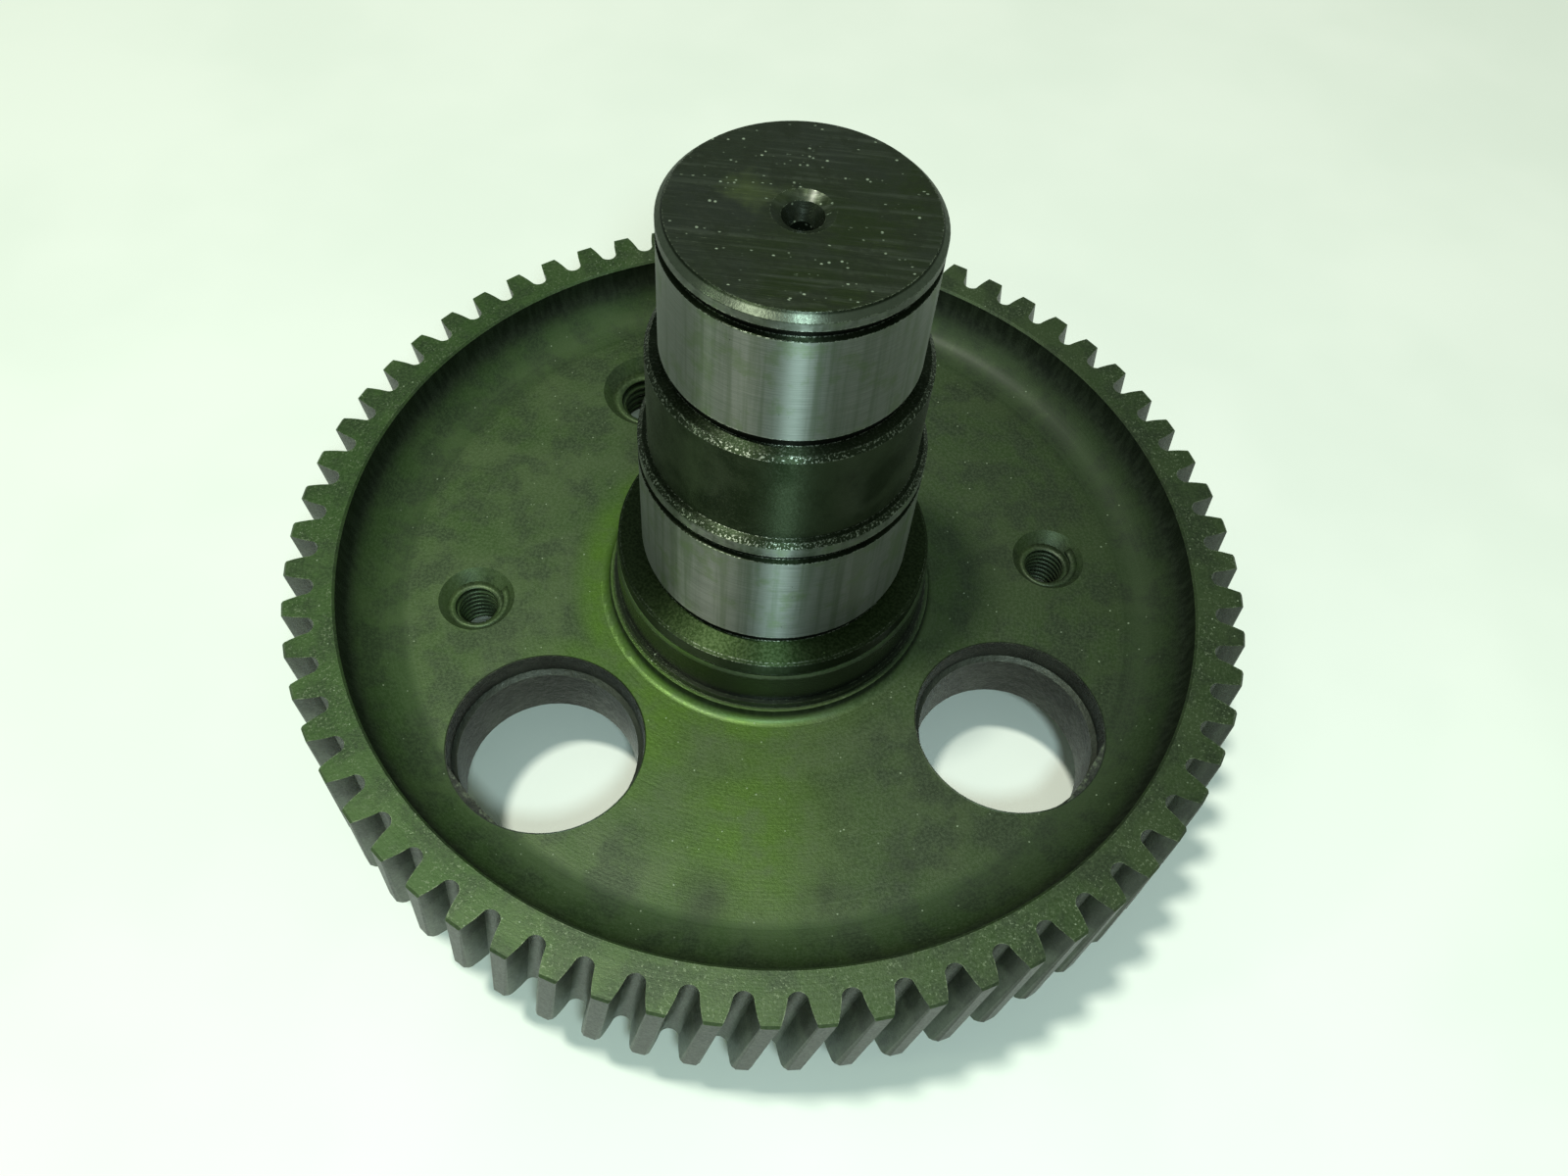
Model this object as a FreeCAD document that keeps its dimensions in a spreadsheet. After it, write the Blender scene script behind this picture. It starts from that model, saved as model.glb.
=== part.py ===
import FreeCAD, Part
import math
import os

import Sketcher

# Helical gear wheel pressed and keyed on a stub shaft. Millimetres and degrees.
# Z runs up the shaft, and the origin is the centre of the shaft's lower end face.

DRIVING = {
    # toothing, measured in the plane of rotation
    "tooth_count": 64,
    "gear_module": 2.5,
    "helix_angle": 7.5,
    "pressure_angle": 14.5,
    "dedendum_factor": 1.05,
    "tooth_share": 0.53,
    "tooth_phase": 269.7,
    "tip_radius": 82.5,
    "root_round": 0.9,
    "upper_tip_wear": 0.15,
    "lower_tip_wear": 0.6,
    # rim, web and hub, heights above the shaft's lower end
    "rim_bottom": 14,
    "rim_top": 39,
    "rim_inner_radius": 74,
    "web_top": 29,
    "web_bottom": 15,
    "rim_fillet": 9,
    "hub_radius": 27,
    "hub_top": 39.8,
    "step_radius": 27.7,
    "step_top": 32.4,
    "foot_radius": 28.4,
    "foot_top": 31.1,
    "foot_fillet": 1.9,
    "edge_break": 0.4,
    "lower_tip_break": 1.2,
    # openings in the web
    "hole_circle": 50,
    "left_hole_angle": 228,
    "right_hole_angle": 330.6,
    "hole_top_radius": 16.2,
    "hole_ledge_outer": 15.8,
    "hole_ledge_inner": 15,
    "hole_bottom_radius": 14.6,
    "ledge_outer_height": 25.4,
    "ledge_inner_height": 24.7,
    "puller_circle": 52,
    "puller_angle": 12.3,
    "puller_radius": 4,
    "puller_mouth_radius": 6.6,
    "lifting_angle": 123.6,
    "lifting_radius": 6,
    "lifting_mouth_radius": 9.4,
    # shaft, from the lower end up
    "pilot_radius": 19,
    "pilot_top": 13,
    "seat_radius": 21,
    "collar_radius": 26.6,
    "collar_top": 43.3,
    "lower_journal_radius": 22.5,
    "shoulder_top": 70.3,
    "middle_radius": 21,
    "ledge_top": 88.2,
    "upper_journal_radius": 19,
    "shaft_top": 112.6,
    "end_chamfer": 1,
    "shoulder_chamfer": 0.7,
    # turned grooves
    "relief_width": 1.7,
    "relief_depth": 0.5,
    "ring_groove_width": 1.85,
    "ring_groove_depth": 1,
    "lower_ring_groove": 65.8,
    "upper_ring_groove": 108.4,
    # centre drillings
    "centre_guard_radius": 4.3,
    "centre_guard_depth": 0.8,
    "centre_mouth_radius": 2.9,
    "centre_pilot_radius": 1.6,
    "centre_cone_depth": 3.1,
    "centre_pilot_depth": 7,
    # key
    "key_width": 12,
    "key_height": 8,
    "key_length": 20,
    "key_bottom": 16.5,
    "key_sunk": 5,
    "hub_slot_depth": 3.3,
}

OVERRUN = 1.0

document = FreeCAD.newDocument("helical_gear_shaft")
sheet = document.addObject("Spreadsheet::Sheet", "sizes")
for row, (name, number) in enumerate(DRIVING.items(), start=1):
    sheet.set(f"A{row}", name)
    sheet.set(f"B{row}", str(number))
    sheet.setAlias(f"B{row}", name)
document.recompute()


def amount(text):
    """Value of a sum of sheet names, such as 'rim_top - web_top'."""
    total = 0.0
    sign = 1
    for word in text.split():
        if word in "+-":
            sign = 1 if word == "+" else -1
        else:
            total += sign * float(sheet.get(word))
    return total


def bound(text):
    """The same sum as an expression on the sheet."""
    return " ".join(word if word in "+-" else f"sizes.{word}" for word in text.split())


def plane_of(body, role):
    return next(item for item in body.Origin.OriginFeatures if item.Role == role)


def new_body(label):
    body = document.addObject("PartDesign::Body", label)
    body.Label = label
    return body


def sketch_on(body, role, name):
    sketch = body.newObject("Sketcher::SketchObject", name)
    sketch.AttachmentSupport = [(plane_of(body, role), "")]
    sketch.MapMode = "FlatFace"
    return sketch


def pin_point(sketch, edge, end, across, up):
    """Hold one end of an edge at two sums of sheet names; '0' puts it on the axis."""
    for kind, text, axis in (("DistanceX", across, -2), ("DistanceY", up, -1)):
        if text == "0":
            sketch.addConstraint(Sketcher.Constraint("PointOnObject", edge, end, axis))
        else:
            index = sketch.addConstraint(Sketcher.Constraint(kind, -1, 1, edge, end, amount(text)))
            sketch.setExpression(f"Constraints[{index}]", bound(text))


def number_of(text):
    return 0.0 if text == "0" else amount(text)


def outline(sketch, corners):
    """Closed polygon whose corners are pairs of sums of sheet names."""
    points = [FreeCAD.Vector(number_of(across), number_of(up), 0) for across, up in corners]
    count = len(points)
    for index, point in enumerate(points):
        sketch.addGeometry(Part.LineSegment(point, points[(index + 1) % count]), False)
    for index in range(count):
        sketch.addConstraint(Sketcher.Constraint("Coincident", index, 2, (index + 1) % count, 1))
    for index, (across, up) in enumerate(corners):
        pin_point(sketch, index, 1, across, up)


def turned(body, name, corners, kind="PartDesign::Revolution"):
    """Revolve a section, drawn as radius and height, about the shaft axis."""
    sketch = sketch_on(body, "XZ_Plane", f"{name}_section")
    outline(sketch, corners)
    feature = body.newObject(kind, name)
    feature.Profile = sketch
    feature.ReferenceAxis = (sketch, ["V_Axis"])
    feature.Angle = 360
    document.recompute()
    return feature


def ring_edges(feature, rings):
    """Names of the circular edges about the axis with the given radii and heights."""
    names = []
    for radius, height in rings:
        for index, edge in enumerate(feature.Shape.Edges, start=1):
            curve = edge.Curve
            if not isinstance(curve, Part.Circle):
                continue
            centred = math.hypot(curve.Center.x, curve.Center.y) < 0.01
            if centred and abs(curve.Radius - radius) < 0.01 and abs(curve.Center.z - height) < 0.01:
                names.append(f"Edge{index}")
    if len(names) < len(rings):
        raise ValueError(f"{feature.Name}: found {len(names)} of {len(rings)} edges")
    return names


def dressed(body, kind, name, base, rings, size_name):
    """Fillet or chamfer of whole circular edges."""
    feature = body.newObject(kind, name)
    feature.Base = (base, ring_edges(base, rings))
    size_property = "Radius" if kind.endswith("Fillet") else "Size"
    feature.setExpression(size_property, f"sizes.{size_name}")
    document.recompute()
    return feature


def cut_cone(body, name, across, up, height, radii, depth):
    """Upright conical cut; every size is an expression, and radii are the lower and the upper one."""
    cone = body.newObject("PartDesign::SubtractiveCone", name)
    cone.AttachmentSupport = [(plane_of(body, "XY_Plane"), "")]
    cone.MapMode = "FlatFace"
    cone.setExpression("AttachmentOffset.Base.x", across)
    cone.setExpression("AttachmentOffset.Base.y", up)
    cone.setExpression("AttachmentOffset.Base.z", height)
    cone.setExpression("Radius1", radii[0])
    cone.setExpression("Radius2", radii[1])
    cone.setExpression("Height", depth)
    return cone


def cut_cylinder(body, name, across, up, height, radius, depth):
    """Upright round cut; every size is an expression."""
    cylinder = body.newObject("PartDesign::SubtractiveCylinder", name)
    cylinder.AttachmentSupport = [(plane_of(body, "XY_Plane"), "")]
    cylinder.MapMode = "FlatFace"
    cylinder.setExpression("AttachmentOffset.Base.x", across)
    cylinder.setExpression("AttachmentOffset.Base.y", up)
    cylinder.setExpression("AttachmentOffset.Base.z", height)
    cylinder.setExpression("Radius", radius)
    cylinder.setExpression("Height", depth)
    return cylinder


def around(circle, angle):
    """Expressions for a place on a circle about the axis."""
    turn = f"({angle}) * 1 deg"
    return f"sizes.{circle} * cos({turn})", f"sizes.{circle} * sin({turn})"


# ---------------------------------------------------------------- toothing

def involute_angle(radius, base_radius):
    """Polar angle swept by an involute between its base circle and a radius."""
    pressure = math.acos(min(1.0, base_radius / radius))
    return math.tan(pressure) - pressure


def tip_wear(height):
    """Width of the worn corners of the tooth tips, which grows down the face."""
    share = (height - amount("rim_bottom")) / amount("rim_top - rim_bottom")
    return amount("lower_tip_wear") + share * amount("upper_tip_wear - lower_tip_wear")


def gap_points(height):
    """Outline of one tooth space at a height.

    Each side has the root, middle and top points of its flank and the end of the worn corner above it.
    The other two points are the middles of the root arc and of the outer arc.
    """
    teeth = amount("tooth_count")
    pitch_radius = teeth * amount("gear_module") / 2
    base_radius = pitch_radius * math.cos(math.radians(amount("pressure_angle")))
    root_radius = pitch_radius - amount("gear_module") * amount("dedendum_factor")
    wear = tip_wear(height)
    outer_radius = amount("tip_radius") + OVERRUN
    half_space = math.pi / teeth * (1 - amount("tooth_share"))
    lead_tangent = math.tan(math.radians(amount("helix_angle")))
    twist = (height - amount("rim_top")) * lead_tangent / pitch_radius
    middle = math.radians(amount("tooth_phase")) + math.pi / teeth + twist
    pitch_sweep = involute_angle(pitch_radius, base_radius)
    flank_radii = (root_radius + amount("root_round"), pitch_radius, amount("tip_radius") - wear)
    sides = []
    for side in (-1, 1):
        flank = []
        for radius in flank_radii:
            sweep = involute_angle(max(radius, base_radius), base_radius)
            angle = middle + side * (half_space + sweep - pitch_sweep)
            flank.append(FreeCAD.Vector(radius * math.cos(angle), radius * math.sin(angle), 0))
        corner = angle + side * (wear + OVERRUN) / outer_radius
        flank.append(FreeCAD.Vector(outer_radius * math.cos(corner), outer_radius * math.sin(corner), 0))
        sides.append(flank)
    root = FreeCAD.Vector(root_radius * math.cos(middle), root_radius * math.sin(middle), 0)
    outer = FreeCAD.Vector(outer_radius * math.cos(middle), outer_radius * math.sin(middle), 0)
    return sides, root, outer


def gap_sketch(body, name, base, offset):
    """Sketch of one tooth space at a height; the flanks are arcs through three involute points.

    The root is one hollow arc, and a straight bevel stands for the worn corner of each tip.
    """
    sketch = sketch_on(body, "XY_Plane", name)
    sketch.setExpression("AttachmentOffset.Base.z", f"sizes.{base} + {offset}")
    (left, right), root, outer = gap_points(amount(base) + offset)
    edges = (
        Part.Arc(left[0], left[1], left[2]),
        Part.LineSegment(left[2], left[3]),
        Part.Arc(left[3], outer, right[3]),
        Part.LineSegment(right[3], right[2]),
        Part.Arc(right[2], right[1], right[0]),
        Part.Arc(right[0], root, left[0]),
    )
    for edge in edges:
        sketch.addGeometry(edge, False)
    return sketch


def add_teeth(body):
    """Cut one helical tooth space and repeat it round the rim."""
    upper = gap_sketch(body, "space_at_top", "rim_top", OVERRUN)
    lower = gap_sketch(body, "space_at_bottom", "rim_bottom", -OVERRUN)
    document.recompute()
    space = body.newObject("PartDesign::SubtractiveLoft", "tooth_space")
    space.Profile = lower
    space.Sections = [upper]
    space.Ruled = True
    document.recompute()
    ring = body.newObject("PartDesign::PolarPattern", "tooth_spaces")
    ring.Originals = [space]
    ring.Axis = (plane_of(body, "Z_Axis"), [""])
    ring.Angle = 360
    ring.setExpression("Occurrences", "sizes.tooth_count")
    body.Tip = ring
    document.recompute()
    return ring


# ---------------------------------------------------------------- pieces

def gear_wheel():
    body = new_body("gear_wheel")
    corners = [
        ("seat_radius", "rim_bottom"),
        ("hub_radius", "rim_bottom"),
        ("hub_radius", "web_bottom"),
        ("rim_inner_radius", "web_bottom"),
        ("rim_inner_radius", "rim_bottom"),
        ("tip_radius", "rim_bottom"),
        ("tip_radius", "rim_top"),
        ("rim_inner_radius", "rim_top"),
        ("rim_inner_radius", "web_top"),
        ("foot_radius", "web_top"),
        ("foot_radius", "foot_top"),
        ("step_radius", "foot_top"),
        ("step_radius", "step_top"),
        ("hub_radius", "step_top"),
        ("hub_radius", "hub_top"),
        ("seat_radius", "hub_top"),
    ]
    blank = turned(body, "blank", corners)
    rim_corner = [(amount("rim_inner_radius"), amount("web_top"))]
    sweep = dressed(body, "PartDesign::Fillet", "rim_sweep", blank, rim_corner, "rim_fillet")
    foot = [(amount("foot_radius"), amount("web_top"))]
    foot_sweep = dressed(body, "PartDesign::Fillet", "foot_sweep", sweep, foot, "foot_fillet")
    sharp = [
        (amount("tip_radius"), amount("rim_top")),
        (amount("rim_inner_radius"), amount("rim_top")),
        (amount("hub_radius"), amount("hub_top")),
    ]
    broken = dressed(body, "PartDesign::Chamfer", "broken_edges", foot_sweep, sharp, "edge_break")
    lower_tip = [(amount("tip_radius"), amount("rim_bottom"))]
    dressed(body, "PartDesign::Chamfer", "lower_tip_edge", broken, lower_tip, "lower_tip_break")
    add_teeth(body)
    for name in ("left", "right"):
        add_web_hole(body, name)
    for name, turn in (("right", "sizes.puller_angle"), ("left", "sizes.puller_angle + 180")):
        add_tapped_hole(body, f"{name}_puller", "puller_circle", turn, "puller")
    add_tapped_hole(body, "lifting", "hole_circle", "sizes.lifting_angle", "lifting")
    add_hub_slot(body)
    return body


def add_web_hole(body, name):
    """Large opening that narrows at a small ledge a few millimetres below the web's face."""
    across, up = around("hole_circle", f"sizes.{name}_hole_angle")
    steps = [
        ("bottom", "web_bottom", "hole_bottom_radius", "ledge_inner_height", "hole_ledge_inner"),
        ("ledge", "ledge_inner_height", "hole_ledge_inner", "ledge_outer_height", "hole_ledge_outer"),
        ("top", "ledge_outer_height", "hole_ledge_outer", "web_top", "hole_top_radius"),
    ]
    for step, low, low_radius, high, high_radius in steps:
        cut_cone(body, f"{name}_hole_{step}", across, up, f"sizes.{low}",
                 (f"sizes.{low_radius}", f"sizes.{high_radius}"), f"sizes.{high} - sizes.{low}")
        document.recompute()


def add_tapped_hole(body, name, circle, turn, size):
    """Through hole as wide as its thread, countersunk at 90 degrees on both faces."""
    across, up = around(circle, turn)
    bore = f"sizes.{size}_radius"
    mouth = f"sizes.{size}_mouth_radius"
    cut_cylinder(body, f"{name}_bore", across, up, f"sizes.web_bottom - {OVERRUN}", bore,
                 f"sizes.web_top - sizes.web_bottom + {2 * OVERRUN}")
    cut_cone(body, f"{name}_top_mouth", across, up, f"sizes.web_top - {mouth} + {bore}",
             (bore, f"{mouth} + {OVERRUN}"), f"{mouth} - {bore} + {OVERRUN}")
    cut_cone(body, f"{name}_bottom_mouth", across, up, f"sizes.web_bottom - {OVERRUN}",
             (f"{mouth} + {OVERRUN}", bore), f"{mouth} - {bore} + {OVERRUN}")
    document.recompute()


def add_hub_slot(body):
    """Keyway broached right through the hub, on the +Y side of the bore."""
    sketch = sketch_on(body, "XY_Plane", "hub_slot_outline")
    half = amount("key_width") / 2
    reach = amount("seat_radius + hub_slot_depth")
    corners = [(-half, 0), (half, 0), (half, reach), (-half, reach)]
    points = [FreeCAD.Vector(across, up, 0) for across, up in corners]
    for index, point in enumerate(points):
        sketch.addGeometry(Part.LineSegment(point, points[(index + 1) % 4]), False)
    for index in range(4):
        sketch.addConstraint(Sketcher.Constraint("Coincident", index, 2, (index + 1) % 4, 1))
    sketch.addConstraint(Sketcher.Constraint("Horizontal", 2))
    sketch.addConstraint(Sketcher.Constraint("Symmetric", 0, 1, 0, 2, -1, 1))
    sketch.addConstraint(Sketcher.Constraint("Vertical", 1))
    sketch.addConstraint(Sketcher.Constraint("Vertical", 3))
    wide = sketch.addConstraint(Sketcher.Constraint("DistanceX", 0, 1, 0, 2, 2 * half))
    sketch.setExpression(f"Constraints[{wide}]", "sizes.key_width")
    deep = sketch.addConstraint(Sketcher.Constraint("DistanceY", 1, 1, 1, 2, reach))
    sketch.setExpression(f"Constraints[{deep}]", "sizes.seat_radius + sizes.hub_slot_depth")
    slot = body.newObject("PartDesign::Pocket", "hub_slot")
    slot.Profile = sketch
    slot.Type = "ThroughAll"
    slot.Midplane = True
    document.recompute()


def key_outline(sketch):
    """Upright slot outline with round ends, centred on the sketch's vertical axis."""
    half = amount("key_width") / 2
    low = amount("key_bottom") + half
    high = amount("key_bottom + key_length") - half
    right_low = FreeCAD.Vector(half, low, 0)
    right_high = FreeCAD.Vector(half, high, 0)
    left_high = FreeCAD.Vector(-half, high, 0)
    left_low = FreeCAD.Vector(-half, low, 0)
    top = FreeCAD.Vector(0, high + half, 0)
    bottom = FreeCAD.Vector(0, low - half, 0)
    sketch.addGeometry(Part.LineSegment(right_low, right_high), False)
    sketch.addGeometry(Part.Arc(right_high, top, left_high), False)
    sketch.addGeometry(Part.LineSegment(left_high, left_low), False)
    sketch.addGeometry(Part.Arc(left_low, bottom, right_low), False)


def stub_shaft():
    body = new_body("stub_shaft")
    corners = [
        ("0", "0"),
        ("pilot_radius", "0"),
        ("pilot_radius", "pilot_top"),
        ("seat_radius", "pilot_top"),
        ("seat_radius", "hub_top"),
        ("collar_radius", "hub_top"),
        ("collar_radius", "collar_top"),
        ("lower_journal_radius", "collar_top"),
        ("lower_journal_radius", "shoulder_top"),
        ("middle_radius", "shoulder_top"),
        ("middle_radius", "ledge_top"),
        ("upper_journal_radius", "ledge_top"),
        ("upper_journal_radius", "shaft_top"),
        ("0", "shaft_top"),
    ]
    bar = turned(body, "bar", corners)
    ends = [
        (amount("pilot_radius"), 0),
        (amount("upper_journal_radius"), amount("shaft_top")),
        (amount("seat_radius"), amount("pilot_top")),
    ]
    tip = dressed(body, "PartDesign::Chamfer", "end_chamfers", bar, ends, "end_chamfer")
    shoulders = [
        (amount("middle_radius"), amount("ledge_top")),
        (amount("lower_journal_radius"), amount("shoulder_top")),
    ]
    tip = dressed(body, "PartDesign::Chamfer", "shoulder_chamfers", tip, shoulders, "shoulder_chamfer")
    collar = [
        (amount("collar_radius"), amount("collar_top")),
        (amount("collar_radius"), amount("hub_top")),
    ]
    dressed(body, "PartDesign::Chamfer", "collar_edges", tip, collar, "edge_break")
    for name in ("lower", "upper"):
        base = {"lower": "collar_top", "upper": "ledge_top"}[name]
        journal = f"{name}_journal_radius"
        add_groove(body, f"{name}_relief", journal, "relief_depth", base, "relief_width")
        start = f"{name}_ring_groove"
        add_groove(body, f"{name}_ring_groove", journal, "ring_groove_depth", start, "ring_groove_width")
    add_centre(body, "upper", "sizes.shaft_top", -1)
    add_centre(body, "lower", "0", 1)
    add_shaft_slot(body)
    return body


def add_groove(body, name, radius, depth, base, width):
    """Square turned groove whose outline runs past the surface it is cut in."""
    corners = [
        (f"{radius} - {depth}", base),
        (f"{radius} + {depth}", base),
        (f"{radius} + {depth}", f"{base} + {width}"),
        (f"{radius} - {depth}", f"{base} + {width}"),
    ]
    turned(body, name, corners, "PartDesign::Groove")


def add_centre(body, name, face, inward):
    """Centre drilling: a shallow guard recess, a steeper mouth and a small pilot hole."""
    guard = "sizes.centre_guard_radius"
    mouth = "sizes.centre_mouth_radius"
    small = "sizes.centre_pilot_radius"
    shallow = "sizes.centre_guard_depth"
    deep = "sizes.centre_cone_depth"
    steps = (("guard", "0", shallow, guard, mouth), ("mouth", shallow, deep, mouth, small))
    for step, start, stop, wide, narrow in steps:
        low = f"{face} - {stop}" if inward < 0 else f"{face} + {start}"
        radii = (narrow, wide) if inward < 0 else (wide, narrow)
        cut_cone(body, f"{name}_centre_{step}", "0", "0", low, radii, f"{stop} - {start}")
    pilot_low = f"{face} - sizes.centre_pilot_depth" if inward < 0 else face
    cut_cylinder(body, f"{name}_centre_pilot", "0", "0", pilot_low, small, "sizes.centre_pilot_depth")
    document.recompute()


def add_shaft_slot(body):
    """Key slot milled into the +Y side of the seat."""
    sketch = sketch_on(body, "XZ_Plane", "shaft_slot_outline")
    sketch.setExpression("AttachmentOffset.Base.z", "-(sizes.seat_radius - sizes.key_sunk)")
    key_outline(sketch)
    document.recompute()
    slot = body.newObject("PartDesign::Pocket", "shaft_slot")
    slot.Profile = sketch
    slot.Type = "Length"
    slot.setExpression("Length", "sizes.key_height")
    before = slot.BaseFeature.Shape.Volume
    document.recompute()
    if before - slot.Shape.Volume < 1:
        slot.Reversed = True
        document.recompute()


def hub_key():
    body = new_body("hub_key")
    sketch = sketch_on(body, "XZ_Plane", "key_outline")
    sketch.setExpression("AttachmentOffset.Base.z", "-(sizes.seat_radius - sizes.key_sunk)")
    key_outline(sketch)
    document.recompute()
    bar = body.newObject("PartDesign::Pad", "key_bar")
    bar.Profile = sketch
    bar.setExpression("Length", "sizes.key_height")
    document.recompute()
    if bar.Shape.BoundBox.YMin < amount("seat_radius - key_sunk") - 0.01:
        bar.Reversed = True
        document.recompute()
    return body


CUTS = (
    "PartDesign::Groove",
    "PartDesign::Pocket",
    "PartDesign::SubtractiveCone",
    "PartDesign::SubtractiveCylinder",
    "PartDesign::SubtractiveLoft",
    "PartDesign::PolarPattern",
)


def faults(item):
    """States that mean a feature failed."""
    return [state for state in item.State if state in ("Invalid", "Error")]


def cuts_nothing(item):
    """True for a cutting feature that left the volume as it was."""
    if item.TypeId not in CUTS:
        return False
    return item.BaseFeature.Shape.Volume - item.Shape.Volume < 1


def export(body):
    broken = [item.Name for item in document.Objects if faults(item)]
    if broken:
        raise RuntimeError(f"failed features: {broken}")
    idle = [item.Name for item in body.Group if cuts_nothing(item)]
    if idle:
        raise RuntimeError(f"features that cut nothing: {idle}")
    if body.Shape.isNull() or not body.Shape.isValid() or len(body.Shape.Solids) != 1:
        raise RuntimeError(f"{body.Label} is not one valid solid")
    body.Shape.exportStep(f"parts/{body.Label}.step")


os.makedirs("parts", exist_ok=True)
for build in (gear_wheel, stub_shaft, hub_key):
    export(build())
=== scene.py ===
import math

import bmesh
import bpy
from mathutils import Matrix, Vector


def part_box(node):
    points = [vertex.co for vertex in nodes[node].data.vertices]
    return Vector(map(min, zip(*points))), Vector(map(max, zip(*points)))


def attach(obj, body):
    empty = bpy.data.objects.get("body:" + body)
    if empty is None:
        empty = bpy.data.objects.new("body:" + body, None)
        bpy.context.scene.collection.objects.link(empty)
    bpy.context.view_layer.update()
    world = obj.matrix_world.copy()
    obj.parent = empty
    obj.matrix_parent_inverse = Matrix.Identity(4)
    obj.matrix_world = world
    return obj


# Helical gear wheel on a stub shaft. The shaft's axis is +Z and the front of the wheel faces -Y.
# Lengths named *_MM are in millimetres; the scene itself is in metres.

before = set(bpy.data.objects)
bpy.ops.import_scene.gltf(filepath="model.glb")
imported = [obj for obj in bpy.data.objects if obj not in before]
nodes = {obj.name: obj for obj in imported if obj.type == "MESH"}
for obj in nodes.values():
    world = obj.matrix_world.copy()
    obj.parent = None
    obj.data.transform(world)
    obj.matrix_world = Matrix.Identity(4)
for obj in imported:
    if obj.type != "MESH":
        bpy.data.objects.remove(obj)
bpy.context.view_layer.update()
MM = 0.001

SHAFT_TOP_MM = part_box("stub_shaft")[1].z / MM
WEB_TOP_MM = 29.0
WEB_BOTTOM_MM = 15.0


# ---------------------------------------------------------------- material graphs

class Graph:
    """Builds one material; each method adds nodes and returns the socket with their result.

    x, y and z are a place on the object in millimetres, and r is its distance from the shaft's axis.
    """

    def __init__(self, name, **constants):
        self.material = bpy.data.materials.new(name)
        self.material.use_nodes = True
        self.tree = self.material.node_tree
        self.shader = self.tree.nodes["Principled BSDF"]
        for socket, value in constants.items():
            self.shader.inputs[socket.replace("_", " ")].default_value = value
        place = self.node("ShaderNodeTexCoord").outputs["Object"]
        scaled = self.node("ShaderNodeVectorMath", operation="SCALE")
        self.link(place, scaled.inputs[0])
        scaled.inputs["Scale"].default_value = 1.0 / MM
        self.place = scaled.outputs[0]
        split = self.node("ShaderNodeSeparateXYZ")
        self.link(self.place, split.inputs[0])
        self.x, self.y, self.z = split.outputs
        self.r = self.length(self.x, self.y)

    def node(self, kind, **settings):
        made = self.tree.nodes.new(kind)
        for key, value in settings.items():
            setattr(made, key, value)
        return made

    def link(self, value, socket):
        if isinstance(value, bpy.types.NodeSocket):
            self.tree.links.new(value, socket)
        else:
            socket.default_value = value

    def maths(self, operation, a, b=0.0, clamp=False):
        made = self.node("ShaderNodeMath", operation=operation, use_clamp=clamp)
        self.link(a, made.inputs[0])
        self.link(b, made.inputs[1])
        return made.outputs[0]

    def plus(self, a, b, clamp=False):
        return self.maths("ADD", a, b, clamp)

    def minus(self, a, b):
        return self.maths("SUBTRACT", a, b)

    def times(self, a, b, clamp=False):
        return self.maths("MULTIPLY", a, b, clamp)

    def larger(self, a, b):
        return self.maths("MAXIMUM", a, b)

    def length(self, x, y):
        """Length of a flat vector."""
        return self.maths("SQRT", self.plus(self.times(x, x), self.times(y, y)))

    def stray(self, value, noise, amount):
        """A value that a noise moves up or down by as much as half the amount."""
        return self.plus(value, self.times(self.minus(noise, 0.5), amount))

    def vector(self, x, y, z):
        made = self.node("ShaderNodeCombineXYZ")
        for value, socket in zip((x, y, z), made.inputs):
            self.link(value, socket)
        return made.outputs[0]

    def stretched(self, x, y, z):
        """The place in millimetres, scaled differently along each axis."""
        made = self.node("ShaderNodeVectorMath", operation="MULTIPLY")
        self.link(self.place, made.inputs[0])
        made.inputs[1].default_value = (x, y, z)
        return made.outputs[0]

    def ring_place(self, around, across):
        """Coordinates that run slowly round the shaft axis and quickly across it, with no seam."""
        safe = self.larger(self.r, 0.2)
        x = self.times(self.maths("DIVIDE", self.x, safe), around)
        y = self.times(self.maths("DIVIDE", self.y, safe), around)
        z = self.times(self.plus(self.r, self.z), across)
        return self.vector(x, y, z)

    def noise(self, scale, detail=3.0, roughness=0.55, place=None, distortion=0.0):
        made = self.node("ShaderNodeTexNoise")
        self.link(self.place if place is None else place, made.inputs["Vector"])
        made.inputs["Scale"].default_value = scale
        made.inputs["Detail"].default_value = detail
        made.inputs["Roughness"].default_value = roughness
        made.inputs["Distortion"].default_value = distortion
        return made.outputs["Fac"]

    def cells(self, scale):
        """Distance to the nearest of many scattered points."""
        made = self.node("ShaderNodeTexVoronoi")
        self.link(self.place, made.inputs["Vector"])
        made.inputs["Scale"].default_value = scale
        return made.outputs["Distance"]

    def span(self, value, low, high, start=0.0, stop=1.0):
        """Smooth step from start at low to stop at high."""
        made = self.node("ShaderNodeMapRange", interpolation_type="SMOOTHSTEP")
        self.link(value, made.inputs["Value"])
        made.inputs["From Min"].default_value = low
        made.inputs["From Max"].default_value = high
        made.inputs["To Min"].default_value = start
        made.inputs["To Max"].default_value = stop
        return made.outputs["Result"]

    def band(self, value, low, high, blur):
        """One between low and high, fading to zero over blur on each side."""
        rise = self.span(value, low - blur, low + blur)
        fall = self.span(value, high - blur, high + blur, 1.0, 0.0)
        return self.times(rise, fall)

    def mix(self, factor, a, b, blend="MIX"):
        made = self.node("ShaderNodeMix", data_type="RGBA", blend_type=blend)
        self.link(factor, made.inputs["Factor"])
        self.link(a, made.inputs[6])
        self.link(b, made.inputs[7])
        return made.outputs[2]

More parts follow.
